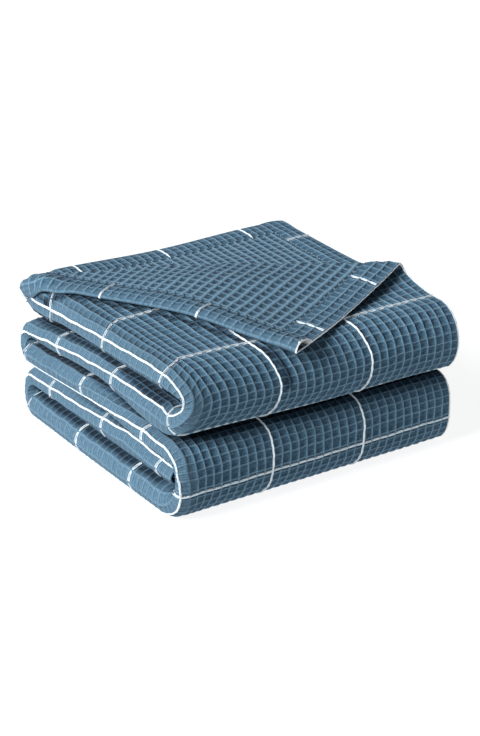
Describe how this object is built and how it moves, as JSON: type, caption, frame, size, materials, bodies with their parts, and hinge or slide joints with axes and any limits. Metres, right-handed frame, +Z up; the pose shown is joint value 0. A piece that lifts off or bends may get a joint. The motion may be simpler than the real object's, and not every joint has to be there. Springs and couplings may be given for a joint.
{
  "type": "folded waffle weave cotton blanket",
  "caption": "Dusty blue waffle weave cotton throw with a thin white windowpane check, folded into a soft stack with one corner of the top ply turned back.",
  "frame": {"origin": "on the surface it rests on, under the centre of the folded stack's bounding box", "axes": "+Z up, +X along the front lobes away from the long folded crest, +Y from the front lobes to the back, where the end hem of the top run lies"},
  "size_m": [0.3066, 0.2966, 0.1602],
  "materials": {
    "blue_waffle_cotton": "matte"
  },
  "bodies": {
    "root": {"waffle_blanket": "blue_waffle_cotton"}
  },
  "joints": []
}
